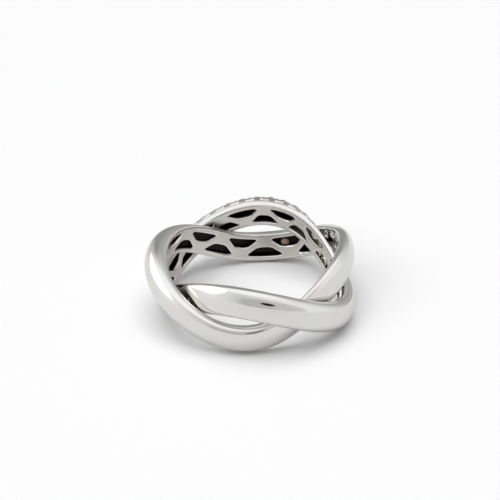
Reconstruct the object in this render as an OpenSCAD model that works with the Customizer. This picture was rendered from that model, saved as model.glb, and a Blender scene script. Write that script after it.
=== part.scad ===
// Two-strand braided ring, lying on its side.
// Origin: on the finger's axis, level with the surface that the ring lies on.
// Angles around the ring start at the front (-Y) and grow towards +X.

/* [Braid] */
// Mean radius from the finger's axis to the strands' inner faces
inner_r = 9.25; // [9:0.05:9.6]
// Height of the braid's middle above the surface it lies on
middle_h = 4.025; // [3.9:0.005:4.4]
// How far a strand climbs above, and sinks below, the middle
rise = 2.15; // [2:0.05:2.3]
// How far a strand steps out, and in, where it crosses the other
weave = 0.63; // [0.6:0.01:0.7]
// Angle of the first strand's first high point
first_high = 81; // [75:1:87]

/* [Strand] */
// Width of a strand
strand_w = 3.3; // [3:0.05:3.4]
// Thickness of a strand, from its inner face to the top of its dome
strand_t = 1.65; // [1.6:0.05:1.75]
// Part of the thickness that the straight side walls take
wall_part = 0.4; // [0.3:0.05:0.5]
// Part of the half width where the inner face ends in a bevel
face_part = 0.87; // [0.8:0.01:0.95]
// Fullness of the dome, from a flat ellipse at 1 to boxy at 0.7
dome_power = 0.9; // [0.7:0.05:1]
// How far the dome leans up at a high point, in degrees
lean = 13; // [6:1:14]
// Thickness taken off where a strand passes under the other
tuck = 0.9; // [0.85:0.01:0.95]

/* [Gallery] */
// Openings in each row of the first strand's inner face
first_openings = 11; // [9:1:13]
// Angle of one upper opening of the first strand
first_opening_at = 188.6; // [180:0.1:200]
// Openings in each row of the second strand's inner face
second_openings = 13; // [9:1:14]
// Angle of one upper opening of the second strand
second_opening_at = 186; // [180:0.1:200]
// Metal left between an opening's floor and the dome
skin = 0.55; // [0.5:0.05:0.7]

/* [Stones] */
// Diameter of a stone
stone_d = 1.22; // [1.1:0.01:1.25]
// Angle between two stones in a row
stone_step = 7.6; // [7.6:0.1:9]
// Where the stones start
stones_from = 124; // [120:1:130]
// Stones in each row, those left out under a crossing included
stones_row = 13; // [8:1:14]
// How far each of the two rows lies from the strand's middle
row_side = 0.76; // [0.74:0.01:0.8]
// Free space around a stone in its seat
seat_gap = 0.07; // [0.06:0.01:0.08]
// Height of a bead above the dome
bead_rise = 0.08; // [0.06:0.01:0.12]

/* [Hidden] */
// Facets of the strands: outlines round the ring, and steps across the dome.
sections = 72;
dome_steps = 8;
// Rows of the unevenness table.
stations = 8;
// How closely the tuck keeps to the crossing; more is closer.
tuck_sharpness = 4;
// A pocket is never shallower than this, and its cutter starts this far outside.
least_pocket = 0.2;
past = 0.3;
// A stone this far inside the other strand's edge is left out.
cover = 0.55;
// Beads: the ones between the two rows, and the ones outside them.
middle_bead_r = 0.2;
side_bead_r = 0.15;
bead_side = row_side + 0.46;
bead_sides = 5;
bead_foot_part = 1.2;
bead_top_part = 0.6;
metal = [0.82, 0.82, 0.81];
stone_colour = [0.94, 0.96, 0.98];

// Hand-made unevenness of each strand at eight stations, 45 degrees apart,
// from first_high on: [extra height, extra inner radius, extra thickness].
UNEVEN = [
    [
        [0.05, -0.05, -0.25],
        [0.6, 0, 0.1],
        [0, 0.05, 0.05],
        [0, -0.1, -0.1],
        [0.05, -0.05, 0.55],
        [0.25, 0, 0],
        [0.15, -0.1, -0.1],
        [-0.25, 0.15, 0.05]
    ],
    [
        [-0.1, 0.1, 0.05],
        [0.35, 0, 0],
        [-0.15, -0.1, 0.45],
        [-0.25, -0.1, -0.05],
        [0, 0.1, 0],
        [0.15, 0, 0.2],
        [0.05, 0, -0.1],
        [-0.15, 0.1, 0.05]
    ]
];
EXTRA_HEIGHT = 0;
EXTRA_RADIUS = 1;
EXTRA_THICKNESS = 2;

// Corners of an upper opening: [part of the half pitch, part of the strand's half width].
OPENING = [
    [-0.66, 0.47], [-0.58, 0.56], [0.58, 0.56], [0.66, 0.47],
    [0.33, 0.03], [0.14, -0.04], [-0.14, -0.04], [-0.33, 0.03]
];
lower_shift = -0.06;

function unit(p) = p / norm(p);
function total(values) = [for (v = values) 1] * values;

// Weight of a station, x degrees away from it.
function nearness(x) = abs(sin(x / 2)) < 1e-4 ? 1 : sin(x * stations / 2) / (stations * tan(x / 2));
function uneven(k, a, column) = total([
    for (i = [0 : stations - 1])
        UNEVEN[k][i][column] * nearness(a - first_high - i * 360 / stations)
]);

// Place in the twist: 0 at a high point, 90 where the strand is outermost.
function twist(k, a) = 2 * (a - first_high) + 180 * k;
function height(k, a) = middle_h + rise * cos(twist(k, a)) + uneven(k, a, EXTRA_HEIGHT);
function radius(k, a) = inner_r + weave * sin(twist(k, a)) + uneven(k, a, EXTRA_RADIUS);
function under(k, a) = pow((1 - sin(twist(k, a))) / 2, tuck_sharpness);
function thickness(k, a) = strand_t - tuck * under(k, a) + uneven(k, a, EXTRA_THICKNESS);

// The strand's own axes at an angle: [place, along, across, out].
function path(k, a) = [radius(k, a) * sin(a), -radius(k, a) * cos(a), height(k, a)];
function along(k, a) = unit(path(k, a + 0.05) - path(k, a - 0.05));
function straight_out(k, a) =
    let (t = along(k, a), r = [sin(a), -cos(a), 0])
    unit(r - (r * t) * t);
function axes(k, a) =
    let (
        t = along(k, a),
        n = straight_out(k, a),
        s = cross(n, t),
        tip = lean * cos(twist(k, a))
    )
    [path(k, a), t, s * cos(tip) - n * sin(tip), n * cos(tip) + s * sin(tip)];

// A point on or in a strand: side in half widths (up is positive), out in millimetres.
function spot(k, a, side, out) =
    let (f = axes(k, a))
    f[0] + f[2] * side * strand_w / 2 + f[3] * out;

// Outline of a strand across its length: [side, part of the thickness].
function dome_point(b) = [
    sign(cos(b)) * pow(abs(cos(b)), dome_power),
    wall_part + (1 - wall_part) * pow(abs(sin(b)), dome_power)
];
OUTLINE = concat(
    [[-face_part, 0]],
    [for (i = [0 : dome_steps]) dome_point(180 - i * 180 / dome_steps)],
    [[face_part, 0]]
);

// A closed loop of outlines, joined by triangles.
module bar(k) {
    n = len(OUTLINE);
    points = [
        for (i = [0 : sections - 1])
            let (a = i * 360 / sections, t = thickness(k, a))
            for (q = OUTLINE) spot(k, a, q[0], q[1] * t)
    ];
    function at(i, j) = (i % sections) * n + j % n;
    faces = [
        for (i = [0 : sections - 1], j = [0 : n - 1], half = [0, 1])
            half == 0
                ? [at(i, j), at(i, j + 1), at(i + 1, j + 1)]
                : [at(i, j), at(i + 1, j + 1), at(i + 1, j)]
    ];
    polyhedron(points, faces, convexity = 10);
}

// One pocket of the gallery, open to the finger.
module pocket(k, a, half_pitch, flip) {
    n = len(OPENING);
    corners = [
        for (q = OPENING)
            [a + q[0] * half_pitch, flip ? lower_shift - q[1] : q[1]]
    ];
    deep = max(least_pocket, thickness(k, a) - skin);
    points = concat(
        [for (q = corners) spot(k, q[0], q[1], -past)],
        [for (q = corners) spot(k, q[0], q[1], deep)]
    );
    sides = [for (i = [0 : n - 1]) [i, (i + 1) % n, n + (i + 1) % n, n + i]];
    hull()
        polyhedron(points, concat([[for (i = [0 : n - 1]) i]], sides, [[for (i = [n : 2 * n - 1]) i]]));
}

module gallery(k, count, start) {
    pitch = 360 / count;
    for (i = [0 : count - 1]) {
        pocket(k, start + i * pitch, pitch / 2, false);
        pocket(k, start + (i + 0.5) * pitch, pitch / 2, true);
    }
}

// A place on the dome, d millimetres to the side: [place, across the row, along the row, out].
function dome_axes(k, a, d) =
    let (
        b = 90 - sign(d) * (90 - acos(pow(abs(d) * 2 / strand_w, 1 / dome_power))),
        q = [for (turn = [-2, 0, 2]) dome_point(b - turn)],
        p = [for (e = q) spot(k, a, e[0], e[1] * thickness(k, a))],
        x = unit(p[2] - p[0]),
        z = unit(cross(along(k, a), x))
    )
    [p[1], x, cross(z, x), z];

// False where the other strand lies over a place on the dome.
function is_free(k, a, d) =
    sin(twist(k, a)) > 0
    || abs(spot(k, a, d * 2 / strand_w, strand_t / 2)[2] - height(1 - k, a)) > strand_w / 2 + cover;

function stone_places(k) = [
    for (i = [0 : stones_row - 1], d = [-row_side, row_side])
        let (a = stones_from + i * stone_step)
        if (is_free(k, a, d)) dome_axes(k, a, d)
];

// Beads stand between neighbouring stones, on both sides of each row.
function bead_places(k, d) = [
    for (i = [0 : stones_row])
        let (a = stones_from + (i - 0.5) * stone_step)
        if (is_free(k, a, d)) dome_axes(k, a, d)
];

module set_at(f) {
    multmatrix([
        [f[1][0], f[2][0], f[3][0], f[0][0]],
        [f[1][1], f[2][1], f[3][1], f[0][1]],
        [f[1][2], f[2][2], f[3][2], f[0][2]]
    ])
        children();
}

// Proportions of a round brilliant, as parts of its diameter.
facets = 8;
table_part = 0.57;
crown_part = 0.15;
pavilion_part = 0.43;
// The girdle's depth below the dome, and the seat below the girdle.
girdle_depth = 0.06;
seat_depth = 0.02;
// The hole behind the stone: its width as a part of the seat's, its length, and the seat's height.
hole_part = 0.56;
hole_length = 0.45;
seat_height = 0.6;
half_facet = 180 / facets;

module brilliant() {
    function ring(r, z) = [
        for (i = [0 : facets - 1])
            let (b = (2 * i + 1) * half_facet)
            [r * cos(b), r * sin(b), z]
    ];
    points = concat(
        ring(table_part * stone_d / 2, crown_part * stone_d - girdle_depth),
        ring(stone_d / 2, -girdle_depth),
        [[0, 0, -girdle_depth - pavilion_part * stone_d]]
    );
    tip = 2 * facets;
    faces = concat(
        [[for (i = [facets - 1 : -1 : 0]) i]],
        [for (i = [0 : facets - 1]) let (j = (i + 1) % facets) [i, j, facets + j, facets + i]],
        [for (i = [0 : facets - 1]) let (j = (i + 1) % facets) [facets + i, facets + j, tip]]
    );
    polyhedron(points, faces);
}

// The hole that a stone sits in, drilled on towards the gallery.
module seat() {
    wide = stone_d / 2 + seat_gap;
    narrow = hole_part * wide;
    slope = pavilion_part * stone_d / 2;
    rotate(half_facet) {
        translate([0, 0, -girdle_depth - seat_depth])
            cylinder(h = seat_height, r = wide, $fn = facets);
        translate([0, 0, -girdle_depth - slope])
            cylinder(h = slope, r1 = narrow, r2 = wide, $fn = facets);
        translate([0, 0, -girdle_depth - slope - hole_length])
            cylinder(h = hole_length + seat_depth, r = narrow, $fn = facets);
    }
}

module bead(r) {
    translate([0, 0, -bead_rise])
        cylinder(h = 2 * bead_rise, r1 = r * bead_foot_part, r2 = r * bead_top_part, $fn = bead_sides);
}

module strand(k, openings, opening_at) {
    color(metal) {
        difference() {
            bar(k);
            gallery(k, openings, opening_at);
            for (f = stone_places(k)) set_at(f) seat();
        }
        for (f = bead_places(k, 0)) set_at(f) bead(middle_bead_r);
        for (d = [-bead_side, bead_side], f = bead_places(k, d)) set_at(f) bead(side_bead_r);
    }
}

module stones(k) {
    color(stone_colour)
        for (f = stone_places(k)) set_at(f) brilliant();
}

module first_strand() { strand(0, first_openings, first_opening_at); }
module second_strand() { strand(1, second_openings, second_opening_at); }
module first_stones() { stones(0); }
module second_stones() { stones(1); }

first_strand();
second_strand();
first_stones();
second_stones();
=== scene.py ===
"""Two-strand braided ring of white metal, set with small round stones over its far half.

The ring lies on its side. Angles around it start at the front (-Y) and grow towards +X.
Strand pieces are modelled on a plain, flat ring (side is z, outward is away from the axis),
and are then laid along the course of their strand.
"""

import math

import bmesh
import bpy
from mathutils import Matrix, Vector


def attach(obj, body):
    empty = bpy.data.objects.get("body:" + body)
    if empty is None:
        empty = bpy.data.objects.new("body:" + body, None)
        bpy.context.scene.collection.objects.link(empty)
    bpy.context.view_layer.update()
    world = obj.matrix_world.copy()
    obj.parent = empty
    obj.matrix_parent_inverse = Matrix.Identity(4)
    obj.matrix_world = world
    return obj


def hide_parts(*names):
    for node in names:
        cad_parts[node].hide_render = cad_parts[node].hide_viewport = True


bl_info = {
    "name": "Braided ring",
    "version": (1, 0, 0),
    "blender": (4, 5, 0),
    "location": "3D View > Sidebar > Braided ring",
    "description": "Models a two-strand braided ring with a pierced gallery and small round stones",
    "category": "Object",
}

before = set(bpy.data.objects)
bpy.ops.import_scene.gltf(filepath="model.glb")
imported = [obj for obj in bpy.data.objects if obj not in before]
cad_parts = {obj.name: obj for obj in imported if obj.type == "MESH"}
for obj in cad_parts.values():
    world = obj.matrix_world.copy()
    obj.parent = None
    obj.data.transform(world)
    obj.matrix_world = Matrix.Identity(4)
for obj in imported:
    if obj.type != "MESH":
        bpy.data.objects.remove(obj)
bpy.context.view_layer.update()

MM = 0.001
STRANDS = ("first", "second")

# Hand-made unevenness of each strand at eight stations, 45 degrees apart, from the
# first high point on, in millimetres: (extra height, extra inner radius, extra thickness).
STATIONS = 8
EXTRA_HEIGHT, EXTRA_RADIUS, EXTRA_THICKNESS = range(3)
UNEVEN = (
    (
        (0.05, -0.05, -0.25),
        (0.6, 0, 0.1),
        (0, 0.05, 0.05),
        (0, -0.1, -0.1),
        (0.05, -0.05, 0.55),
        (0.25, 0, 0),
        (0.15, -0.1, -0.1),
        (-0.25, 0.15, 0.05),
    ),
    (
        (-0.1, 0.1, 0.05),
        (0.35, 0, 0),
        (-0.15, -0.1, 0.45),
        (-0.25, -0.1, -0.05),
        (0, 0.1, 0),
        (0.15, 0, 0.2),
        (0.05, 0, -0.1),
        (-0.15, 0.1, 0.05),
    ),
)

# Corners of an upper opening: (part of the half pitch, part of the strand's half width).
OPENING = (
    (-0.66, 0.47),
    (-0.58, 0.56),
    (0.58, 0.56),
    (0.66, 0.47),
    (0.33, 0.03),
    (0.14, -0.04),
    (-0.14, -0.04),
    (-0.33, 0.03),
)
# A lower opening is an upper one upside down, and lower by this part of the half width.
LOWER_SHIFT = -0.06

# Corners of a slot in the inner corner: (part of its half step, part of the half width).
SLOT = ((-0.74, 0.68), (-0.74, 0.95), (0.74, 0.95), (0.74, 0.68))
SLOT_DEPTH = 0.6 * MM

# How far outside the metal a cutter starts, and the shortest edge of one that is divided.
CLEAR = 0.3 * MM
LONG_EDGE = 0.4 * MM

# A seat's cutter: where it starts, how much wider than the stone its flare is, where the flare
# begins and how far it closes in, the ledge under the girdle, and how far the bottom closes in.
SEAT_CLEAR = 0.4 * MM
FLARE_WIDER = 0.12 * MM
FLARE_TOP = 0.05 * MM
LEDGE_INSET = 0.1 * MM
LEDGE = 0.05 * MM
BOTTOM_INSET = 0.66 * MM

# How far a window closes in from its edge to its floor, and the rounding of its corners as a
# part of its width.
WINDOW_INSET = 0.03 * MM
WINDOW_ROUNDING = 0.4

# Section of the rounded rim of an opening, as parts of its width: (depth, how far it closes in).
RIM_SECTION = ((0.25, 0.55), (0.6, 0.87), (1.1, 1.0))
# How far an opening closes in down to its finished wall and down to its floor, in the same parts.
WALL_INSET = 1.02
FLOOR_INSET = 1.3

# How far the setting's finish goes on past the outermost stones, as a part of their step.
SETTING_BEYOND = 0.6
# Faces that meet at less than this look smooth.
SMOOTH_UP_TO = math.radians(32)

# Material slots of a strand's mesh.
# The deep faces of the openings and the walls of the inner corner's slots get materials that paint
# shade.
POLISHED, SATIN, RECESS, SETTING, BRIGHT_CUT, OPEN_RECESS, SLOT_SHADE = range(7)


# ---- Sizes and finishes shown in the panel


def number(name, default, description, **more):
    more.setdefault("min", 0)
    return bpy.props.FloatProperty(name=name, description=description, default=default, **more)


def length(name, millimetres, description, least=0):
    limits = {"min": least * MM, "precision": 5}
    return number(name, millimetres * MM, description, unit="LENGTH", **limits)


def part(name, default, description):
    return number(name, default, description, max=3, subtype="FACTOR", precision=3)


def angle(name, degrees, description):
    limits = {"min": -2 * math.pi, "precision": 2}
    return number(name, math.radians(degrees), description, unit="ROTATION", **limits)


def colour(name, rgb, description):
    look = {"size": 4, "min": 0, "max": 1, "subtype": "COLOR"}
    default = (*rgb, 1.0)
    return bpy.props.FloatVectorProperty(
        name=name, description=description, default=default, **look
    )


def count(name, default, description):
    return bpy.props.IntProperty(name=name, description=description, default=default, min=1)


def which_strand():
    about = "0 for the first strand, 1 for the second"
    return bpy.props.IntProperty(name="Strand", description=about, default=0, min=0, max=1)


class BraidSizes(bpy.types.PropertyGroup):
    inner_r: length("Inner radius", 9.25, "Mean radius of the strands' inner faces")
    middle_h: length("Middle height", 4.025, "Height of the braid's middle above the floor")
    rise: length("Rise", 2.15, "How far a strand climbs above, and sinks below, the middle")
    weave: length("Weave", 0.63, "How far a strand steps out, and in, where it crosses the other")
    first_high: angle("First high point", 81, "Angle of the first strand's first high point")
    strand_w: length("Strand width", 3.3, "Width of a strand")
    strand_t: length("Strand thickness", 1.65, "Thickness from the inner face to the dome's top")
    wall_part: part("Side wall", 0.4, "Part of the thickness that the side walls take")
    flat_part: part("Inner face", 0.76, "Part of the half width where the flat inner face ends")
    edge_power: number("Edge power", 2.7, "Squareness of the edge from side wall to inner face")
    fullness: part("Dome fullness", 0.035, "How much fuller than an ellipse the dome is")
    lean: angle("Lean", 13, "How far the dome leans up at a high point")
    tuck: length("Tuck", 0.9, "Thickness taken off where a strand passes under the other")
    tuck_sharpness: count("Tuck sharpness", 4, "How closely the tuck keeps to the crossing")
    sections: count("Sections", 432, "Steps of the spin round a strand")
    outline_points: count("Outline points", 84, "Points in a strand's outline")


class GallerySizes(bpy.types.PropertyGroup):
    first_openings: count("First openings", 11, "Openings in each row of the first strand")
    first_opening_at: angle("First opening at", 188.6, "Angle of one of its upper openings")
    second_openings: count("Second openings", 13, "Openings in each row of the second strand")
    second_opening_at: angle("Second opening at", 186, "Angle of one of its upper openings")
    skin: length("Skin", 0.85, "Metal left between an opening's floor and the dome")
    corner_r: length("Corner radius", 0.16, "Rounding of an opening's corners")
    rim: length("Rim", 0.14, "Width of the rounded rim round an opening")
    bright_depth: length("Bright depth", 0.16, "Depth down to which an opening's wall is finished")
    slots: count("Slots", 6, "Slots in the second strand's inner corner, by the right crossing")
    slots_from: angle("Slots from", 66, "Angle of the first slot")
    slot_step: angle("Slot step", 4.6, "Angle between two slots")


class StoneSizes(bpy.types.PropertyGroup):
    stone_d: length("Stone diameter", 1.22, "Diameter of a stone")
    stone_step: angle("Stone step", 7.6, "Angle between two stones in a row")
    stones_from: angle("Stones from", 124, "Where the stones start")
    stones_row: count("Stones in a row", 13, "Stones in each row, those under a crossing included")
    row_side: length("Row side", 0.76, "How far each of the two rows lies from the strand's middle")
    girdle_depth: length("Girdle depth", 0.06, "How far a stone's girdle lies below the dome")
    seat_deep: length("Seat depth", 0.62, "Depth of a full seat below the girdle")
    dome_drop: length("Dome drop", 0.14, "How much lower the dome is at a row than at its middle")
    cover: length("Cover", 0.55, "A stone this far inside the other strand's edge is left out")
    bead_side: length("Side beads", 1.22, "How far the outer beads lie from the strand's middle")
    middle_bead_r: length("Middle bead radius", 0.2, "Radius of a bead between the two rows")
    side_bead_r: length("Side bead radius", 0.15, "Radius of a bead outside the rows")
    open_from: angle("Open backs from", 98, "Stones from this angle on show their backs inside")
    first_open_to: angle("First open backs to", 130, "Where the first strand's open backs end")
    second_open_to: angle("Second open backs to", 150, "Where the second strand's open backs end")
    collet_r: length("Collet radius", 0.5, "Outside radius of a collet round a stone's back")
    collet_deep: length("Collet depth", 0.22, "Depth of the hollow in a collet")
    collets_to: angle("Collets to", 133, "Where the collets round the open backs end")
    first_collet_top: length("First collet top", 0.04, "Top of its collets in the gallery", -1)
    second_collet_top: length("Second collet top", -0.16, "Top of its collets in the gallery", -1)
    back_at: angle("Stone back at", 159.2, "Angle of the stone whose back shows in an opening")
    back_side: length("Stone back side", 0.22, "How far that stone lies from the strand's middle")
    back_r: length("Stone back radius", 0.5, "Radius of that stone's back")
    window_step: angle("Window step", 8.8, "Angle between two bright windows in the edge")
    window_at: angle("Window at", 180.4, "Angle of one window")
    window_long: length("Window length", 1.08, "Length of a window")
    window_wide: length("Window width", 0.46, "Width of a window")
    window_deep: length("Window depth", 0.05, "Depth of a window in its middle")
    window_turn: angle("Window place", 8, "Place of the windows on the dome, from its edge")
    window_tip: angle("Window tip", 20, "How far a window's floor is tipped towards the edge")


class Finishes(bpy.types.PropertyGroup):
    white_metal: colour("White metal", (0.75, 0.742, 0.73), "Colour of the polished metal")
    satin_metal: colour("Satin metal", (0.68, 0.65, 0.63), "Colour of the gallery's satin metal")
    # Painted shade deep in the gallery's openings, also used for the inner corner's slots.
    recess_shade: colour("Recess", (0.02, 0.018, 0.016), "Colour deep inside the gallery's openings")
    # Lighter painted shade deep in the openings where the stones' backs show.
    open_recess_shade: colour("Open recess", (0.2, 0.185, 0.14), "Colour where the stones' backs show")
    stone: colour("Stone", (1, 1, 1), "Colour of the stones")
    brown: colour("Stone back", (0.5, 0.36, 0.25), "Colour of the stone's back in an opening")
    polish: part("Polish roughness", 0.07, "Roughness of the polished metal")
    satin: part("Satin roughness", 0.34, "Roughness of the satin metal")
    scratches: part("Scratches", 0.03, "Strength of the fine scratches")


class Studio(bpy.types.PropertyGroup):
    floor_colour: colour("Floor", (0.9, 0.9, 0.905), "Colour of the floor")
    # A darker copy of the floor that only the metal mirrors: painted shade in the floor's
    # reflection.
    floor_mirrored_shade: colour("Mirrored floor", (0.8, 0.795, 0.79), "Colour of the floor in the metal")
    floor_side: length("Floor side", 3000, "Side of the square floor")
    sky: part("Roof", 1.2, "Brightness of the tent's roof")
    opening: part("Front opening", 0.75, "Brightness of the opening, as a part of the wall's")
    left_lamp: number("Left lamp", 1.2, "Brightness of the lamp behind the left wall")
    roof_light: number("Roof light", 1.34, "Strength of the wide light from above")
    middle_light: number("Middle light", 1.54, "Strength of the narrower light from above")
    side_light: number("Side light", 0.76, "Strength of the light from the front left")
    side_round: angle("Side light round", -60, "Place of the side light round from the front")
    side_height: angle("Side light elevation", 45, "Elevation of the side light")
    camera_distance: length("Camera distance", 238.924, "From the camera to the point it looks at")
    camera_height: angle("Camera elevation", 30.574, "Elevation of the camera above the floor")
    camera_roll: angle("Camera roll", -0.585, "Roll of the camera")
    aim_left: length("Aim left", 0.348, "How far left of the finger's axis the camera looks")
    aim_z: length("Aim height", 6.987, "Height of the point the camera looks at")
    focal: number("Focal length", 160.445, "In millimetres on a 36 mm sensor")


# ---- The course of a strand


class Course:
    """The course of one strand round the ring, from the panel's sizes."""

    # Steps that give the direction of the course and of the dome's outline.
    NEAR = math.radians(0.05)
    NEAR_TURN = 0.02
    # Halvings that find a place on the dome.
    HALVINGS = 40

    def __init__(self, k):
        self.k = k
        self.size = bpy.context.scene.braid_sizes
        self.stone = bpy.context.scene.stone_sizes
        for name in ("inner_r", "middle_h", "rise", "weave", "first_high", "strand_w", "strand_t"):
            setattr(self, name, getattr(self.size, name))
        self.half_w = self.strand_w / 2
        self.known = {}

    def uneven(self, a, column):
        total = 0.0
        for i, row in enumerate(UNEVEN[self.k]):
            x = a - self.first_high - i * 2 * math.pi / STATIONS
            if abs(math.sin(x / 2)) < 1e-6:
                return row[column] * MM
            total += row[column] * MM * math.sin(x * STATIONS / 2) / (STATIONS * math.tan(x / 2))
        return total

    def twist(self, a):
        """Place in the twist: 0 at a high point, a quarter turn where the strand is outermost."""
        return 2 * (a - self.first_high) + math.pi * self.k

    def height(self, a):
        return self.middle_h + self.rise * math.cos(self.twist(a)) + self.uneven(a, EXTRA_HEIGHT)

    def radius(self, a):
        return self.inner_r + self.weave * math.sin(self.twist(a)) + self.uneven(a, EXTRA_RADIUS)

    def thickness(self, a):
        under = ((1 - math.sin(self.twist(a))) / 2) ** self.size.tuck_sharpness
        return self.strand_t - self.size.tuck * under + self.uneven(a, EXTRA_THICKNESS)

    def path(self, a):
        r = self.radius(a)
        return Vector((r * math.sin(a), -r * math.cos(a), self.height(a)))

    def axes(self, a):
        """The strand's own axes at an angle: place, along, across, out, thickness."""
        key = round(a, 7)
        if key not in self.known:
            along = (self.path(a + self.NEAR) - self.path(a - self.NEAR)).normalized()
            radial = Vector((math.sin(a), -math.cos(a), 0))
            out = (radial - along * radial.dot(along)).normalized()
            up = out.cross(along)
            tip = self.size.lean * math.cos(self.twist(a))
            across = up * math.cos(tip) - out * math.sin(tip)
            outward = out * math.cos(tip) + up * math.sin(tip)
            self.known[key] = (self.path(a), along, across, outward, self.thickness(a))
        return self.known[key]

    def spot(self, a, side, out):
        place, _, across, outward, _ = self.axes(a)
        return place + across * side + outward * out

    def lay(self, bm):
        """Moves a plain ring's vertices onto the strand's course."""
        for v in bm.verts:
            a = math.atan2(v.co.x, -v.co.y)
            out = math.hypot(v.co.x, v.co.y) - self.inner_r
            place, _, across, outward, thick = self.axes(a)
            v.co = place + across * v.co.z + outward * (out * thick / self.strand_t)

    def dome(self, b):
        """A point of the dome's outline: side in metres, out as a part of the thickness."""
        full = 1 + self.size.fullness * math.sin(2 * b) ** 2
        wall = self.size.wall_part
        return self.half_w * math.cos(b) * full, wall + (1 - wall) * math.sin(b) * full

    def dome_axes(self, a, b):
        """A place on the dome: place, across the row, along the row, outward."""
        thick = self.axes(a)[4]
        places = []
        for turn in (-self.NEAR_TURN, 0, self.NEAR_TURN):
            side, out = self.dome(b - turn)
            places.append(self.spot(a, side, out * thick))
        across = (places[2] - places[0]).normalized()
        outward = self.axes(a)[1].cross(across).normalized()
        return places[1], across, outward.cross(across), outward

    def row_axes(self, a, d):
        """A place on the dome, d to the side."""
        low, high = 0.0, math.pi
        for _ in range(self.HALVINGS):
            middle = (low + high) / 2
            if self.dome(middle)[0] > d:
                low = middle
            else:
                high = middle
        return self.dome_axes(a, low)

    def seat_part(self, a):
        """Part of a full seat's depth that leaves the gallery's openings closed at an angle."""
        skin = bpy.context.scene.gallery_sizes.skin - self.stone.dome_drop
        room = skin * self.thickness(a) / self.strand_t
        return min(1.0, (room - self.stone.girdle_depth) / self.stone.seat_deep)

    def floor_depth(self, a):
        """Depth of the openings' floor below the inner face at an angle."""
        deep = self.strand_t - bpy.context.scene.gallery_sizes.skin
        return deep * self.thickness(a) / self.strand_t

    def shows_backs(self, a):
        """True where the stones' backs show in this strand's openings."""
        last = getattr(self.stone, STRANDS[self.k] + "_open_to")
        return self.stone.open_from < a % (2 * math.pi) < last

    def is_free(self, a, d, other):
        """False where the other strand lies over a place on the dome."""
        if math.sin(self.twist(a)) > 0:
            return True
        z = self.spot(a, d, self.strand_t / 2).z
        return abs(z - other.height(a)) > self.half_w + self.stone.cover


def stone_angles(course, other, d, shift=0.0):
    """Angles of a row's free places; a shift of half a step gives the places between stones."""
    stone = course.stone
    places = range(stone.stones_row + (1 if shift else 0))
    angles = [stone.stones_from + (i + shift) * stone.stone_step for i in places]
    return [a for a in angles if course.is_free(a, d, other)]


def window_angles(course, other, d):
    """Angles of the windows in one edge of the stones' field."""
    stone = course.stone
    last = stone.stones_from + (stone.stones_row - 0.5) * stone.stone_step
    before = math.floor((stone.window_at - stone.stones_from) / stone.window_step)
    first = stone.window_at - before * stone.window_step
    angles = [first + i * stone.window_step for i in range(stone.stones_row)]
    return [a for a in angles if a < last and course.is_free(a, d, other)]


# ---- Helpers for meshes


def add_object(name, data):
    made = bpy.data.objects.new(name, data)
    bpy.context.scene.collection.objects.link(made)
    return made


def new_object(name, bm, materials):
    mesh = bpy.data.meshes.new(name)
    bm.to_mesh(mesh)
    bm.free()
    for m in materials:
        mesh.materials.append(m)
    return add_object(name, mesh)


def cut_away(body, cutter):
    """Takes the cutter's shape out of the body, for good, and deletes the cutter."""
    cut = body.modifiers.new("cut", "BOOLEAN")
    cut.operation = "DIFFERENCE"
    cut.solver = "MANIFOLD"
    cut.object = cutter
    before = len(body.data.polygons)
    view = bpy.context.evaluated_depsgraph_get()
    view.update()
    made = bpy.data.meshes.new_from_object(body.evaluated_get(view), depsgraph=view)
    body.modifiers.clear()
    old = body.data
    made.name = old.name
    body.data = made
    bpy.data.meshes.remove(old)
    bpy.data.objects.remove(cutter, do_unlink=True)
    if len(made.polygons) in (0, before):
        raise RuntimeError(f"nothing was cut out of {body.name}")


def join_into(bm, other):
    """Adds another bmesh to bm and frees it."""
    mesh = bpy.data.meshes.new("part")
    other.to_mesh(mesh)
    other.free()
    bm.from_mesh(mesh)
    bpy.data.meshes.remove(mesh)


def turn_outwards(bm):
    """Points a closed shape's faces outwards."""
    bmesh.ops.recalc_face_normals(bm, faces=bm.faces)
    if bm.calc_volume(signed=True) < 0:
        bmesh.ops.reverse_faces(bm, faces=bm.faces)


def give_finish(bm, slot):
    """Gives every face of bm one material slot."""
    for face in bm.faces:
        face.material_index = slot


def find_materials(*names):
    return [bpy.data.materials[name] for name in names]


def smooth(made):
    for face in made.data.polygons:
        face.use_smooth = True


def bend_round(bm, course, at):
    """Bends a flat cutter round the plain ring: x becomes the angle from a place, z the depth."""
    for v in bm.verts:
        a = at + v.co.x / course.inner_r
        r = course.inner_r + v.co.z
        v.co = (r * math.sin(a), -r * math.cos(a), v.co.y)


def flat_outline(course, corners, half_pitch, flip=False):
    """A new flat face, from corners given as parts of a half pitch and of the half width."""
    bm = bmesh.new()
    verts = []
    for along, side in corners:
        side = LOWER_SHIFT - side if flip else side
        verts.append(bm.verts.new((along * half_pitch * course.inner_r, side * course.half_w, 0)))
    bm.faces.new(verts)
    return bm


def set_at(bm, place):
    """Puts a bmesh at a place on a dome: x across the row, y along it, z outward."""
    at, x, y, z = place
    turn = Matrix((x, y, z)).transposed().to_4x4()
    bmesh.ops.transform(bm, matrix=Matrix.Translation(at) @ turn, verts=bm.verts)


def round_corners(bm, radius):
    """Rounds the corners of a flat outline."""
    bmesh.ops.bevel(
        bm,
        geom=bm.verts[:],
        offset=radius,
        segments=4,
        affect="VERTICES",
        profile=0.5,
        material=-1,
        clamp_overlap=True,
    )


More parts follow.
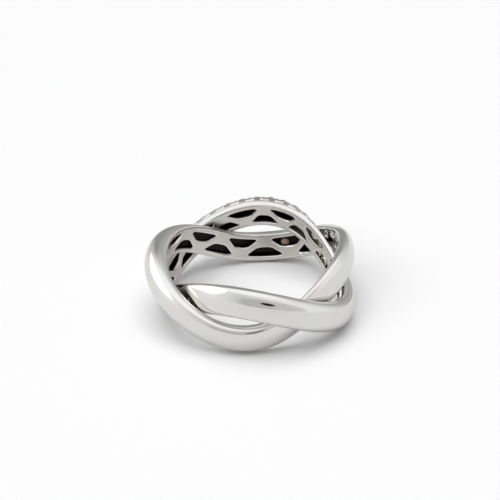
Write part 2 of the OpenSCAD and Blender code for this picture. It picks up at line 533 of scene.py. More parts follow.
def rise_in_steps(bm, steps):
    """Extrudes the only face of bm through steps of (depth, inset), and returns the last face."""
    foot = cap = next(iter(bm.faces))
    last_z, last_inset = steps[0]
    bmesh.ops.translate(bm, vec=(0, 0, last_z), verts=bm.verts)
    for z, inset in steps[1:]:
        grown = bmesh.ops.extrude_face_region(bm, geom=[cap])["geom"]
        if cap is not foot:
            bmesh.ops.delete(bm, geom=[cap], context="FACES_ONLY")
        verts = [g for g in grown if isinstance(g, bmesh.types.BMVert)]
        cap = next(g for g in grown if isinstance(g, bmesh.types.BMFace))
        bmesh.ops.translate(bm, vec=(0, 0, z - last_z), verts=verts)
        if inset != last_inset:
            draw_in(cap, inset - last_inset)
        last_z, last_inset = z, inset
    return cap


def draw_in(face, distance):
    """Moves each corner of a flat face inwards by a distance, or outwards if it is negative."""
    face.normal_update()
    normal = face.normal.copy()
    loops = list(face.loops)
    moves = []
    for loop in loops:
        here = loop.vert.co
        before = (here - loop.link_loop_prev.vert.co).normalized()
        after = (loop.link_loop_next.vert.co - here).normalized()
        inward = (normal.cross(before) + normal.cross(after)).normalized()
        # A sharp corner moves by at most twice the distance.
        stretch = max(0.5, inward.dot(normal.cross(before)))
        moves.append(inward * distance / stretch)
    for loop, move in zip(loops, moves):
        loop.vert.co += move


# ---- The strands


# Turn of the outline from the side wall's middle to where its edge meets the inner face.
EDGE_END = math.radians(36)
# Vertices nearer than this are one, and a face whose middle is nearer lies on the inner face.
SAME_PLACE = 0.0005 * MM
ON_FACE = 0.002 * MM


def outline_spot(course, turn):
    """A point of the strand's outline: (side, out) in metres, for a turn from -pi to pi."""
    size = course.size
    if turn >= 0:
        side, out = course.dome(turn)
        return side, out * size.strand_t
    down = -turn if turn > -math.pi / 2 else math.pi + turn
    sign = 1 if turn > -math.pi / 2 else -1
    flat = size.flat_part * course.half_w
    if down < EDGE_END:
        t = down / EDGE_END * math.pi / 2
        power = 2 / size.edge_power
        side = flat + (course.half_w - flat) * math.cos(t) ** power
        return sign * side, size.wall_part * size.strand_t * (1 - math.sin(t) ** power)
    return sign * flat * (math.pi / 2 - down) / (math.pi / 2 - EDGE_END), 0.0


def plain_bar(course):
    """A strand as a plain, flat ring: a half-round outline spun round the axis."""
    bm = bmesh.new()
    points = bmesh.ops.create_circle(bm, segments=course.size.outline_points, radius=1.0)["verts"]
    for v in points:
        side, out = outline_spot(course, math.atan2(v.co.y, v.co.x))
        v.co = (0, -course.inner_r - out, side)
    bmesh.ops.spin(
        bm,
        geom=bm.verts[:] + bm.edges[:],
        cent=(0, 0, 0),
        axis=(0, 0, 1),
        angle=2 * math.pi,
        steps=course.size.sections,
        use_merge=True,
    )
    bmesh.ops.remove_doubles(bm, verts=bm.verts, dist=SAME_PLACE)
    bmesh.ops.recalc_face_normals(bm, faces=bm.faces)
    for face in bm.faces:
        middle = face.calc_center_median()
        if math.hypot(middle.x, middle.y) < course.inner_r + ON_FACE:
            face.material_index = SATIN
    return bm


def opening_cutter(course, half_pitch, at, flip):
    """Cutter of one opening on the plain ring, with round corners and a rounded rim."""
    gallery = bpy.context.scene.gallery_sizes
    bm = flat_outline(course, OPENING, half_pitch, flip)
    round_corners(bm, gallery.corner_r)
    long_edges = [e for e in bm.edges if e.calc_length() > LONG_EDGE]
    bmesh.ops.subdivide_edges(bm, edges=long_edges, cuts=4)
    bm.normal_update()
    rim = gallery.rim
    steps = [(-CLEAR, 0), (0.0, 0)]
    steps += [(depth * rim, inset * rim) for depth, inset in RIM_SECTION]
    rim_depth = steps[-1][0]
    steps.append((gallery.bright_depth, WALL_INSET * rim))
    steps.append((course.strand_t - gallery.skin, FLOOR_INSET * rim))
    # The outline is the opening's narrow part, so the cutter starts wider by the rim.
    draw_in(next(iter(bm.faces)), -rim)
    rise_in_steps(bm, steps)
    # Faces deep in the opening get painted shade, lighter where the stones' backs show.
    recess_shade = OPEN_RECESS if course.shows_backs(at) else RECESS
    for face in bm.faces:
        z = face.calc_center_median().z
        finish = POLISHED if z < rim_depth else SATIN if z < gallery.bright_depth else recess_shade
        face.material_index = finish
    bend_round(bm, course, at)
    turn_outwards(bm)
    return bm


def slot_cutter(course, half_step, at):
    """Cutter of one slot in the inner corner, on the plain ring, dark with painted shade."""
    bm = flat_outline(course, SLOT, half_step)
    bm.normal_update()
    rise_in_steps(bm, [(-CLEAR, 0), (SLOT_DEPTH, 0)])
    bend_round(bm, course, at)
    give_finish(bm, SLOT_SHADE)
    turn_outwards(bm)
    return bm


def gallery_cutters(course):
    """All openings of a strand's inner face, as one mesh on the plain ring."""
    gallery = bpy.context.scene.gallery_sizes
    name = STRANDS[course.k]
    openings = getattr(gallery, name + "_openings")
    start = getattr(gallery, name + "_opening_at")
    pitch = 2 * math.pi / openings
    bm = bmesh.new()
    for i in range(openings):
        join_into(bm, opening_cutter(course, pitch / 2, start + i * pitch, False))
        join_into(bm, opening_cutter(course, pitch / 2, start + (i + 0.5) * pitch, True))
    return bm


def slot_cutters(course):
    """The slots of the second strand's inner corner."""
    gallery = bpy.context.scene.gallery_sizes
    bm = bmesh.new()
    step = gallery.slot_step
    for i in range(gallery.slots):
        join_into(bm, slot_cutter(course, step / 2, gallery.slots_from + i * step))
    return bm


def seat_cutter(course, a, d):
    """Cutter of a stone's seat: a bright-cut flare, a ledge for the girdle, and a cone."""
    stone = course.stone
    bm = bmesh.new()
    bmesh.ops.create_circle(bm, segments=20, radius=stone.stone_d / 2 + FLARE_WIDER, cap_ends=True)
    depth = stone.girdle_depth
    rise_in_steps(
        bm,
        [
            (SEAT_CLEAR, 0),
            (FLARE_TOP, 0),
            (-depth, LEDGE_INSET),
            (-depth - LEDGE, LEDGE_INSET),
            (-depth - stone.seat_deep * course.seat_part(a), BOTTOM_INSET),
        ],
    )
    turn_outwards(bm)
    give_finish(bm, BRIGHT_CUT)
    set_at(bm, course.row_axes(a, d))
    return bm


def tipped(place, turn):
    """The same place with its outward axis tipped towards its first axis."""
    at, x, y, z = place
    return at, x * math.cos(turn) - z * math.sin(turn), y, z * math.cos(turn) + x * math.sin(turn)


def window_cutter(course, place):
    """Cutter of a bright window in the edge beside the stones."""
    stone = course.stone
    bm = bmesh.new()
    bmesh.ops.create_grid(bm, x_segments=1, y_segments=1, size=0.5)
    bmesh.ops.scale(bm, vec=(stone.window_wide, stone.window_long, 1), verts=bm.verts)
    round_corners(bm, WINDOW_ROUNDING * stone.window_wide)
    bm.normal_update()
    rise_in_steps(bm, [(CLEAR, 0), (0.0, 0), (-stone.window_deep, WINDOW_INSET)])
    turn_outwards(bm)
    give_finish(bm, BRIGHT_CUT)
    set_at(bm, place)
    return bm


def mark_depth(course, bm):
    """Keeps the depth of the satin faces' vertices, for the painted shade deep in the openings."""
    depth = bm.verts.layers.float.new("depth")
    for face in bm.faces:
        if face.material_index in (SATIN, RECESS, OPEN_RECESS):
            for v in face.verts:
                v[depth] = (math.hypot(v.co.x, v.co.y) - course.inner_r) / course.strand_t


def paint_setting(course, bm):
    """Gives the dome round the stones the setting's finish; bm is still a plain ring."""
    stone = course.stone
    first = stone.stones_from - SETTING_BEYOND * stone.stone_step
    last = stone.stones_from + (stone.stones_row - 1 + SETTING_BEYOND) * stone.stone_step
    least_out = course.size.wall_part * course.strand_t
    for face in bm.faces:
        if face.material_index != POLISHED:
            continue
        middle = face.calc_center_median()
        a = math.atan2(middle.x, -middle.y) % (2 * math.pi)
        if first < a < last and math.hypot(middle.x, middle.y) - course.inner_r > least_out:
            face.material_index = SETTING


def finish_metal(made):
    """Smooth faces, with the sharp edges kept sharp."""
    smooth(made)
    made.data.set_sharp_from_angle(angle=SMOOTH_UP_TO)


class BRAID_OT_add_strand(bpy.types.Operator):
    """Model one strand with its pierced gallery, the stones' seats and the bright windows"""

    bl_idname = "braid.add_strand"
    bl_label = "Add strand"
    bl_options = {"REGISTER", "UNDO"}

    k: which_strand()

    def execute(self, context):
        course, other = Course(self.k), Course(1 - self.k)
        name = STRANDS[self.k]
        finishes = find_materials(*STRAND_MATERIALS)
        bar = new_object(f"{name}_strand_metal", plain_bar(course), finishes)
        cut_away(bar, new_object("openings", gallery_cutters(course), finishes))
        if self.k == 1:
            cut_away(bar, new_object("slots", slot_cutters(course), finishes))

        bm = bmesh.new()
        bm.from_mesh(bar.data)
        mark_depth(course, bm)
        paint_setting(course, bm)
        course.lay(bm)
        bm.to_mesh(bar.data)
        bm.free()

        cutters = bmesh.new()
        stone = course.stone
        for sign in (1, -1):
            d = sign * stone.row_side
            for a in stone_angles(course, other, d):
                join_into(cutters, seat_cutter(course, a, d))
            b = stone.window_turn if sign > 0 else math.pi - stone.window_turn
            for a in window_angles(course, other, d):
                place = tipped(course.dome_axes(a, b), sign * stone.window_tip)
                join_into(cutters, window_cutter(course, place))
        cut_away(bar, new_object("seats", cutters, finishes))
        finish_metal(bar)
        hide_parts(f"{name}_strand")
        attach(bar, "root")
        return {"FINISHED"}


# A bead's height as a part of its width, and how far its middle lies in the dome, in radii.
BEAD_FLATNESS = 0.8
BEAD_SUNK = 0.25


class BRAID_OT_add_beads(bpy.types.Operator):
    """Add the small beads that hold one strand's stones"""

    bl_idname = "braid.add_beads"
    bl_label = "Add beads"
    bl_options = {"REGISTER", "UNDO"}

    k: which_strand()

    def execute(self, context):
        course, other = Course(self.k), Course(1 - self.k)
        stone = course.stone
        bm = bmesh.new()
        side, r_side = stone.bead_side, stone.side_bead_r
        for d, r in ((0, stone.middle_bead_r), (side, r_side), (-side, r_side)):
            for a in stone_angles(course, other, d, -0.5):
                bead = bmesh.new()
                bmesh.ops.create_icosphere(bead, subdivisions=2, radius=r)
                bmesh.ops.scale(bead, vec=(1, 1, BEAD_FLATNESS), verts=bead.verts)
                bmesh.ops.translate(bead, vec=(0, 0, -BEAD_SUNK * r), verts=bead.verts)
                set_at(bead, course.row_axes(a, d))
                join_into(bm, bead)
        made = new_object(f"{STRANDS[self.k]}_beads", bm, find_materials("bead_metal"))
        smooth(made)
        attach(made, "root")
        return {"FINISHED"}


# ---- The stones


# Triangles of a stone that meet at less than this are one facet.
FLAT_FACET = math.radians(1.5)
# How much further each stone is turned in its seat than the one before, in radians.
NEXT_TURN = 0.7


def brilliant(stone):
    """A round brilliant: table, star, kite, girdle and pavilion facets, girdle at z = 0."""
    r = stone.stone_d / 2
    eighth = math.pi / 4
    table_r, mid_r, low_r = 0.57 * r, 0.8 * r, 0.3 * r
    crown, pavilion, girdle = 0.15 * stone.stone_d, 0.43 * stone.stone_d, 0.012 * stone.stone_d
    lean = math.cos(eighth / 2)
    mid_z = crown * (r - mid_r * lean) / (r - table_r) + girdle
    low_z = -pavilion * (r - low_r * lean) / r - girdle
    bm = bmesh.new()
    rings = (
        (8, table_r, crown + girdle, 0),
        (8, mid_r, mid_z, eighth / 2),
        (16, r, girdle, 0),
        (16, r, -girdle, 0),
        (8, low_r, low_z, eighth / 2),
    )
    for corners, radius, z, turn in rings:
        place = Matrix.Translation((0, 0, z)) @ Matrix.Rotation(turn, 4, "Z")
        bmesh.ops.create_circle(bm, segments=corners, radius=radius, matrix=place)
    bm.verts.new((0, 0, -pavilion - girdle))
    bmesh.ops.convex_hull(bm, input=bm.verts)
    bmesh.ops.dissolve_limit(bm, angle_limit=FLAT_FACET, verts=bm.verts, edges=bm.edges)
    bmesh.ops.recalc_face_normals(bm, faces=bm.faces)
    return bm


class BRAID_OT_add_stones(bpy.types.Operator):
    """Set one strand's round brilliants in their seats"""

    bl_idname = "braid.add_stones"
    bl_label = "Add stones"
    bl_options = {"REGISTER", "UNDO"}

    k: which_strand()

    def execute(self, context):
        course, other = Course(self.k), Course(1 - self.k)
        stone = course.stone
        bm = bmesh.new()
        for d in (stone.row_side, -stone.row_side):
            for i, a in enumerate(stone_angles(course, other, d)):
                cut = brilliant(stone)
                back = [v for v in cut.verts if v.co.z < 0]
                bmesh.ops.scale(cut, vec=(1, 1, course.seat_part(a)), verts=back)
                turn = Matrix.Rotation(NEXT_TURN * i, 4, "Z")
                lower = Matrix.Translation((0, 0, -stone.girdle_depth))
                bmesh.ops.transform(cut, matrix=lower @ turn, verts=cut.verts)
                set_at(cut, course.row_axes(a, d))
                join_into(bm, cut)
        name = STRANDS[self.k]
        made = new_object(f"{name}_brilliants", bm, find_materials("clear_stone"))
        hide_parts(f"{name}_stones")
        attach(made, "root")
        return {"FINISHED"}


# What the hollow of each strand's collets shows, and its material slot.
BACK_MATERIALS = ("stone_glint", "open_recess_shade")
BACK_SLOT = 1
# Width of the slanted edge at a collet's outside.
COLLET_EDGE = 0.04 * MM
# How far a collet closes in at the hollow's rim and at its foot, in widths of that edge.
RIM_CLOSES = 3
FOOT_CLOSES = 3.5
# Height of the facets in the hollow, as a part of its depth.
FACETS_HIGH = 0.6


class BRAID_OT_add_collets(bpy.types.Operator):
    """Add the collets round the backs of the stones that show through one strand's openings"""

    bl_idname = "braid.add_collets"
    bl_label = "Add collets"
    bl_options = {"REGISTER", "UNDO"}

    k: which_strand()

    def execute(self, context):
        course = Course(self.k)
        stone = course.stone
        edge = COLLET_EDGE
        top = getattr(stone, STRANDS[self.k] + "_collet_top")
        # The stones' row, carried on at its own step to the first open back.
        before = int((stone.stones_from - stone.open_from) / stone.stone_step)
        after = int((stone.collets_to - stone.stones_from) / stone.stone_step) + 1
        places = [stone.stones_from + i * stone.stone_step for i in range(-before, after)]
        bm = bmesh.new()
        for a in filter(course.shows_backs, places):
            _, along, across, outward, _ = course.axes(a)
            depth = course.floor_depth(a)
            high = depth + top
            steps = [
                (0, 0),
                (high - edge, 0),
                (high, edge),
                (high, RIM_CLOSES * edge),
                (high - stone.collet_deep, FOOT_CLOSES * edge),
            ]
            for d in (stone.row_side, -stone.row_side):
                cup = bmesh.new()
                bmesh.ops.create_circle(cup, segments=16, radius=stone.collet_r, cap_ends=True)
                back = rise_in_steps(cup, steps)
                lift = FACETS_HIGH * stone.collet_deep
                facets = bmesh.ops.poke(cup, faces=[back], offset=lift)["faces"]
                for face in facets:
                    face.material_index = BACK_SLOT
                turn_outwards(cup)
                set_at(cup, (course.spot(a, d, depth), along, -across, -outward))
                join_into(bm, cup)
        finishes = find_materials("bead_metal", BACK_MATERIALS[self.k])
        made = new_object(f"{STRANDS[self.k]}_collets", bm, finishes)
        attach(made, "root")
        return {"FINISHED"}


# Depth of the brown back as a part of its width.
BACK_FLATNESS = 0.7


class BRAID_OT_add_stone_back(bpy.types.Operator):
    """Add the brown back of a stone that shows in one opening of the first strand"""

    bl_idname = "braid.add_stone_back"
    bl_label = "Add stone back"
    bl_options = {"REGISTER", "UNDO"}

    def execute(self, context):
        course = Course(0)
        stone = course.stone
        _, along, across, outward, _ = course.axes(stone.back_at)
        depth = course.floor_depth(stone.back_at)
        bm = bmesh.new()
        bmesh.ops.create_uvsphere(bm, u_segments=32, v_segments=16, radius=stone.back_r)
        bmesh.ops.scale(bm, vec=(1, 1, BACK_FLATNESS), verts=bm.verts)
        set_at(bm, (course.spot(stone.back_at, stone.back_side, depth), along, across, outward))
        made = new_object("stone_back", bm, find_materials("brown_stone"))
        smooth(made)
        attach(made, "root")
        return {"FINISHED"}


# ---- Finishes

# One for each material slot of a strand, in their order.
STRAND_MATERIALS = (
    "polished_white_metal",
    "satin_gallery",
    "recess_painted_shade",
    "setting_metal",
    "bright_cut",
    "open_recess_shade",
    "slot_painted_shade",
)

# Where the painted shade on the satin metal starts in an opening, and where it is darkest, as parts
# of the strand's thickness.
DEEP_FROM = 0.07
DEEP_TO = 0.16


def set_inputs(node, inputs):
    """Gives each named input of a node a value, or a link from another node's output."""
    for name, value in inputs.items():
        if isinstance(value, bpy.types.NodeSocket):
            node.id_data.links.new(value, node.inputs[name])
        else:
            node.inputs[name].default_value = value


def add_node(tree, kind, inputs=None, **settings):
    """Adds a shader node with its settings and inputs."""
    node = tree.nodes.new("ShaderNode" + kind)
    for name, value in settings.items():
        setattr(node, name, value)
    set_inputs(node, inputs or {})
    return node


def calculated(tree, operation, *values):
    """Adds a Math node, and returns its result."""
    return add_node(tree, "Math", dict(enumerate(values)), operation=operation).outputs[0]


def mixed(tree, factor, a, b, **settings):
    """Adds a node that mixes two colours, and returns its result."""
    inputs = {"Factor": factor, "A": a, "B": b}
    return add_node(tree, "Mix", inputs, data_type="RGBA", **settings).outputs["Result"]


def new_material(name):
    made = bpy.data.materials.new(name)
    made.use_nodes = True
    tree = made.node_tree
    tree.nodes.clear()
    shader = add_node(tree, "BsdfPrincipled")
    add_node(tree, "OutputMaterial", {"Surface": shader.outputs["BSDF"]})
    return made, shader


def metal_wear_group():
    """Node group: fine scratches and a slow drift of tone over polished or satin metal."""
    group = bpy.data.node_groups.new("metal_wear", "ShaderNodeTree")
    face = group.interface
    for name, kind, default in (
        ("Colour", "NodeSocketColor", (0.8, 0.8, 0.8, 1)),
        ("Warm", "NodeSocketFloat", 0.02),
        ("Roughness", "NodeSocketFloat", 0.1),
        ("Spread", "NodeSocketFloat", 0.02),
        ("Scratches", "NodeSocketFloat", 0.05),
        ("Scale", "NodeSocketFloat", 1000.0),
    ):
        face.new_socket(name, in_out="INPUT", socket_type=kind).default_value = default
    for name, kind in (
        ("Colour", "NodeSocketColor"),
        ("Roughness", "NodeSocketFloat"),
        ("Height", "NodeSocketFloat"),
    ):
        face.new_socket(name, in_out="OUTPUT", socket_type=kind)
    given = group.nodes.new("NodeGroupInput").outputs
    put = group.nodes.new("NodeGroupOutput")
    place = add_node(group, "TexCoord").outputs["Object"]

    drift = add_node(group, "TexNoise", {"Scale": 260, "Detail": 2, "Vector": place})
    tint = add_node(group, "ValToRGB", {"Fac": drift.outputs["Fac"]})
    cool, warm = tint.color_ramp.elements
    cool.position, cool.color = 0.35, (0.97, 1.0, 0.985, 1)
    warm.position, warm.color = 0.65, (1.0, 0.975, 0.965, 1)
    toned = (given["Warm"], given["Colour"], tint.outputs["Color"])
    tone = mixed(group, *toned, blend_type="MULTIPLY")

    grain = add_node(
        group,
        "TexNoise",
        {"Detail": 4, "Roughness": 0.6, "Vector": place, "Scale": given["Scale"]},
    )
    off_middle = calculated(group, "SUBTRACT", grain.outputs["Fac"], 0.5)
    rough = calculated(group, "MULTIPLY_ADD", off_middle, given["Spread"], given["Roughness"])

    # Hairline scratches run two ways: each is a noise stretched along its own direction.
    hairs = []
    for turn in (0.5, 1.9):
        slant = add_node(
            group,
            "Mapping",
            {"Rotation": (turn, 0.4 * turn, turn), "Scale": (1, 14, 14), "Vector": place},
        ).outputs["Vector"]
        hair = add_node(group, "TexNoise", {"Detail": 1, "Scale": given["Scale"], "Vector": slant})
        hairs.append(hair.outputs["Fac"])
    height = calculated(group, "MULTIPLY", calculated(group, "ADD", *hairs), given["Scratches"])
    set_inputs(put, {"Colour": tone, "Roughness": rough, "Height": height})


def metal(name, rgb, roughness, spread, scratches, scale, warm):
    """A white metal whose tone, roughness and scratches come from the wear group."""
    made, shader = new_material(name)
    tree = made.node_tree
    wear = add_node(
        tree,
        "Group",
        name="wear",
        node_tree=bpy.data.node_groups["metal_wear"],
    )
    own = {
        "Colour": rgb,
        "Roughness": roughness,
        "Spread": spread,
        "Scratches": scratches,
        "Scale": scale,
        "Warm": warm,
    }
    set_inputs(wear, own)
    worn = wear.outputs
    bump = add_node(
        tree,
        "Bump",
        {"Strength": 0.12, "Distance": 0.004 * MM, "Height": worn["Height"]},
    )
    look = {
        "Metallic": 1.0,
        "Base Color": worn["Colour"],
        "Roughness": worn["Roughness"],
        "Normal": bump.outputs["Normal"],
    }
    set_inputs(shader, look)
    return made, shader


def shaded_recess_metal(name, rgb, shade_rgb):
    """Satin metal with painted shade: it turns to another, darker colour deep inside an opening."""
    made, shader = metal(name, rgb, 0.5, 0.1, 0.6, 2200, 0.4)
    tree = made.node_tree
    deep = add_node(tree, "Attribute", attribute_name="depth").outputs["Fac"]
    ramp = add_node(tree, "MapRange", {"From Min": DEEP_FROM, "From Max": DEEP_TO, "Value": deep})
    worn = tree.nodes["wear"].outputs["Colour"]
    set_inputs(shader, {"Base Color": mixed(tree, ramp.outputs["Result"], worn, shade_rgb)})


class BRAID_OT_make_finishes(bpy.types.Operator):
    """Make the ring's materials: polished, satin and bright-cut metal, metal with painted shade for
    the openings' depths and the slots, and clear stone
    """

    bl_idname = "braid.make_finishes"
    bl_label = "Make finishes"
    bl_options = {"REGISTER", "UNDO"}

    def execute(self, context):
        look = context.scene.finishes
        metal_wear_group()
        white = tuple(look.white_metal)
        satin = tuple(look.satin_metal)
        # Name, colour, roughness and its spread, scratches, scale of the wear, warmth.
        metal("polished_white_metal", white, look.polish, 0.03, look.scratches, 900, 0.7)
        metal("setting_metal", satin, 0.2, 0.08, 0.3, 1600, 0.6)
        metal("bright_cut", white, 0.04, 0.02, 0.02, 900, 0.3)
        metal("bead_metal", white, 0.1, 0.03, 0.1, 1600, 0.4)
        metal("satin_gallery", satin, look.satin, 0.12, 0.8, 2200, 0.9)
        # The slots and the depths of the openings get painted shade.
        metal("slot_painted_shade", tuple(look.recess_shade), 0.5, 0.1, 0.6, 2200, 0.4)
        shaded_recess_metal("recess_painted_shade", satin, tuple(look.recess_shade))
        shaded_recess_metal("open_recess_shade", satin, tuple(look.open_recess_shade))
        glint = {"Base Color": (0.9, 0.9, 0.92, 1), "Metallic": 1.0, "Roughness": 0.05}
        brown = {"Base Color": tuple(look.brown), "Roughness": 0.4}
        clear = {
            "Base Color": tuple(look.stone),
            "Roughness": 0.0,
            "IOR": 2.418,
            "Transmission Weight": 1.0,
        }
        for name, values in (
            ("stone_glint", glint),
            ("brown_stone", brown),
            ("clear_stone", clear),
        ):
            _, shader = new_material(name)
            set_inputs(shader, values)
        return {"FINISHED"}


# ---- The stage


def add_sun(name, azimuth, elevation, wide, power):
    """Adds a soft light that the metal doesn't mirror."""
    lamp = bpy.data.lights.new(name, "SUN")
    lamp.energy = power
    lamp.angle = wide
    level = math.cos(elevation)
    towards = Vector((level * math.sin(azimuth), -level * math.cos(azimuth), math.sin(elevation)))
    made = add_object(name, lamp)
    made.rotation_euler = towards.to_track_quat("Z", "Y").to_euler()
    made.visible_glossy = False


def add_camera(studio):
    """Adds the camera in front of the ring, aimed down at it."""
    data = bpy.data.cameras.new("camera")
    data.lens = studio.focal
    data.sensor_width = 36
    data.clip_start, data.clip_end = 10 * MM, 10000 * MM
    made = add_object("camera", data)
    up, roll = studio.camera_height, studio.camera_roll
    aim = Vector((-studio.aim_left, 0, studio.aim_z))
    back = Vector((0, -math.cos(up), math.sin(up)))
    right = Vector((1, 0, 0))
    top = back.cross(right)
    x = right * math.cos(roll) + top * math.sin(roll)
    y = top * math.cos(roll) - right * math.sin(roll)
    turn = Matrix((x, y, back)).transposed().to_4x4()
    made.matrix_world = Matrix.Translation(aim + back * studio.camera_distance) @ turn
    return made


# What the camera sees behind the floor.
BACKDROP = 0.985

# Elevations between which the walls turn into the roof, how much higher they are at the back,
# and where round from the front that begins and is complete, all in degrees.
ROOF_FROM, ROOF_TO = 40, 68
BACK_HIGHER = 9
BACK_FROM, BACK_TO = 138, 172

# Oval patches of the tent in degrees: round from the front, elevation, half width, half
# height, and the softness of the edge as a part of the patch.
OPENING_PATCH = (16, 12, 46, 24, 0.4)
LENS_PATCH = (11.5, 16.5, 10, 5.8, 0.15)
LAMP_PATCH = (-100, 30, 34, 26, 0.7)
LENS_BRIGHTNESS = 0.03

# Brightness of the tent's walls: (degrees round from the front, brightness).
BRIGHTEST = 1.2
BACK_WALL = 0.36
TENT_WALLS = (
    (-162, 0.36),
    (-146, 0.62),
    (-130, 0.8),
    (-114, 1.0),
    (-78, 1.1),
    (-58, 0.93),
    (-30, 0.76),
    (0, 0.79),
    (30, 0.92),
    (65, 1.02),
    (95, 0.98),
    (122, 0.78),
    (150, 0.5),
)


def white_surround(studio):
    """A white tent with a bright roof, a grey front opening with a dark lens, and a lamp."""
    world = bpy.data.worlds.new("surround")
    world.use_nodes = True
    tree = world.node_tree

    def math_node(operation, *values):
        return calculated(tree, operation, *values)

    def fade(value, start, end, low, high):
        limits = {"From Min": start, "From Max": end, "To Min": low, "To Max": high, "Value": value}
        return add_node(tree, "MapRange", limits, interpolation_type="SMOOTHSTEP").outputs["Result"]

    place = add_node(tree, "TexCoord").outputs["Generated"]
    x, y, z = add_node(tree, "SeparateXYZ", {0: place}).outputs
    round_front = math_node("ARCTAN2", x, math_node("MULTIPLY", y, -1.0))
    upwards = math_node("ARCSINE", z)

    def outside(patch):
        """1 outside an oval patch of the surround, 0 within it."""
        middle, elevation, half_wide, half_high = (math.radians(degrees) for degrees in patch[:4])
        soft = patch[4]
        away = []
        for value, centre, half in (
            (round_front, middle, half_wide),
            (upwards, elevation, half_high),
        ):
            part_of_half = math_node("DIVIDE", math_node("SUBTRACT", value, centre), half)
            away.append(math_node("MULTIPLY", part_of_half, part_of_half))
        return fade(math_node("ADD", *away), 1 - soft, 1 + soft, 0.0, 1.0)

    walls = add_node(tree, "ValToRGB")
    walls.color_ramp.interpolation = "EASE"
    first, last = walls.color_ramp.elements
    first.position, last.position = 0.0, 1.0
    first.color = last.color = [BACK_WALL / BRIGHTEST] * 3 + [1]
    for degrees, bright in TENT_WALLS:
        stop = walls.color_ramp.elements.new((degrees + 180) / 360)
        stop.color = [bright / BRIGHTEST] * 3 + [1]
    set_inputs(walls, {"Fac": math_node("MULTIPLY_ADD", round_front, 0.5 / math.pi, 0.5)})
    wall = math_node("MULTIPLY", walls.outputs["Color"], BRIGHTEST)
    from_front = math_node("ABSOLUTE", round_front)
    higher = math.radians(BACK_HIGHER)
    lift = fade(from_front, math.radians(BACK_FROM), math.radians(BACK_TO), 0.0, higher)
    above = math_node("SUBTRACT", upwards, lift)
    roof = fade(above, math.radians(ROOF_FROM), math.radians(ROOF_TO), 0.0, 1.0)
    tent = add_node(tree, "Mix", {"Factor": roof, "A": wall, "B": studio.sky}).outputs["Result"]
    opening = fade(outside(OPENING_PATCH), 0.0, 1.0, studio.opening, 1.0)
    lens = fade(outside(LENS_PATCH), 0.0, 1.0, LENS_BRIGHTNESS, 1.0)
    walls_seen = math_node("MULTIPLY", math_node("MULTIPLY", tent, opening), lens)
    glow = fade(outside(LAMP_PATCH), 0.0, 1.0, studio.left_lamp, 0.0)
    seen = math_node("ADD", walls_seen, glow)
    from_camera = add_node(tree, "LightPath").outputs["Is Camera Ray"]
    plain = add_node(tree, "Mix", {"Factor": from_camera, "A": seen, "B": BACKDROP})
    sky = {"Color": (1, 1, 1, 1), "Strength": plain.outputs["Result"]}
    set_inputs(tree.nodes["Background"], sky)
    return world


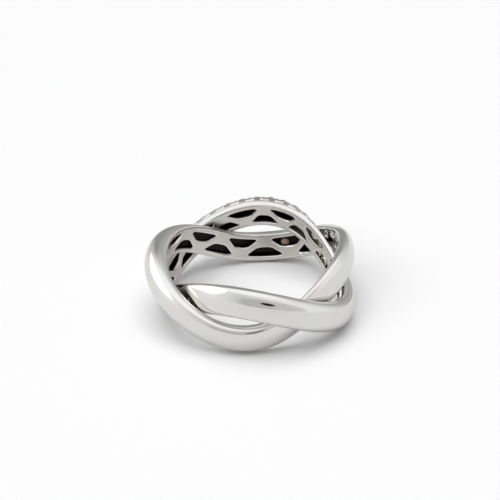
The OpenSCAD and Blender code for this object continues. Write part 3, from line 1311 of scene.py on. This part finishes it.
class BRAID_OT_set_stage(bpy.types.Operator):
    """Set up the pale floor, the soft white surround, the lights and the camera"""

    bl_idname = "braid.set_stage"
    bl_label = "Set stage"
    bl_options = {"REGISTER", "UNDO"}

    def execute(self, context):
        studio = context.scene.studio
        scene = context.scene
        bm = bmesh.new()
        bmesh.ops.create_grid(bm, x_segments=1, y_segments=1, size=studio.floor_side / 2)
        made, shader = new_material("floor_white")
        tree = made.node_tree
        # The camera sees the floor brighter than the metal mirrors it; the mirrored copy is darker,
        # as painted shade.
        from_camera = add_node(tree, "LightPath").outputs["Is Camera Ray"]
        mirrored, seen = tuple(studio.floor_mirrored_shade), tuple(studio.floor_colour)
        shade = mixed(tree, from_camera, mirrored, seen)
        set_inputs(shader, {"Base Color": shade, "Roughness": 0.6, "Specular IOR Level": 0.2})
        floor = new_object("floor", bm, [made])

        scene.world = white_surround(studio)
        # The suns light the floor, and the tent is only mirrored.
        scene.world.cycles_visibility.diffuse = False
        overhead = (0, math.radians(90))
        side = (studio.side_round, studio.side_height)
        # Name, where it stands, how wide it is in degrees, strength.
        for name, stands, wide, power in (
            ("roof_light", overhead, 140, studio.roof_light),
            ("middle_light", overhead, 50, studio.middle_light),
            ("side_light", side, 40, studio.side_light),
        ):
            add_sun(name, *stands, math.radians(wide), power)
        scene.camera = add_camera(studio)
        scene.view_settings.view_transform = "Standard"
        scene.view_settings.look = "None"
        return {"FINISHED"}


# ---- Panel and registration

# The steps that are done once for each strand.
STRAND_STEPS = ("braid.add_strand", "braid.add_beads", "braid.add_stones", "braid.add_collets")
STEPS = (
    ("braid.make_finishes", {}),
    *((step, {"k": k}) for step in STRAND_STEPS for k in range(len(STRANDS))),
    ("braid.add_stone_back", {}),
    ("braid.set_stage", {}),
)

GROUPS = (
    ("braid_sizes", BraidSizes),
    ("gallery_sizes", GallerySizes),
    ("stone_sizes", StoneSizes),
    ("finishes", Finishes),
    ("studio", Studio),
)


class VIEW3D_PT_braided_ring(bpy.types.Panel):
    """Sizes, finishes and steps of the braided ring"""

    bl_label = "Braided ring"
    bl_space_type = "VIEW_3D"
    bl_region_type = "UI"
    bl_category = "Braided ring"

    def draw(self, context):
        layout = self.layout
        for step, values in STEPS:
            button = layout.operator(step)
            for name, value in values.items():
                setattr(button, name, value)
        for name, group in GROUPS:
            box = layout.box()
            box.label(text=name.replace("_", " ").capitalize())
            for prop in group.__annotations__:
                box.prop(getattr(context.scene, name), prop)


CLASSES = (
    BraidSizes,
    GallerySizes,
    StoneSizes,
    Finishes,
    Studio,
    BRAID_OT_make_finishes,
    BRAID_OT_add_strand,
    BRAID_OT_add_beads,
    BRAID_OT_add_stones,
    BRAID_OT_add_collets,
    BRAID_OT_add_stone_back,
    BRAID_OT_set_stage,
    VIEW3D_PT_braided_ring,
)


def register():
    for cls in CLASSES:
        bpy.utils.register_class(cls)
    for name, group in GROUPS:
        setattr(bpy.types.Scene, name, bpy.props.PointerProperty(type=group))


def unregister():
    for name, _ in GROUPS:
        delattr(bpy.types.Scene, name)
    for cls in reversed(CLASSES):
        bpy.utils.unregister_class(cls)


def run_step(step, values):
    family, name = step.split(".")
    getattr(getattr(bpy.ops, family), name)(**values)


def main():
    register()
    for step, values in STEPS:
        run_step(step, values)


if __name__ == "__main__":
    main()
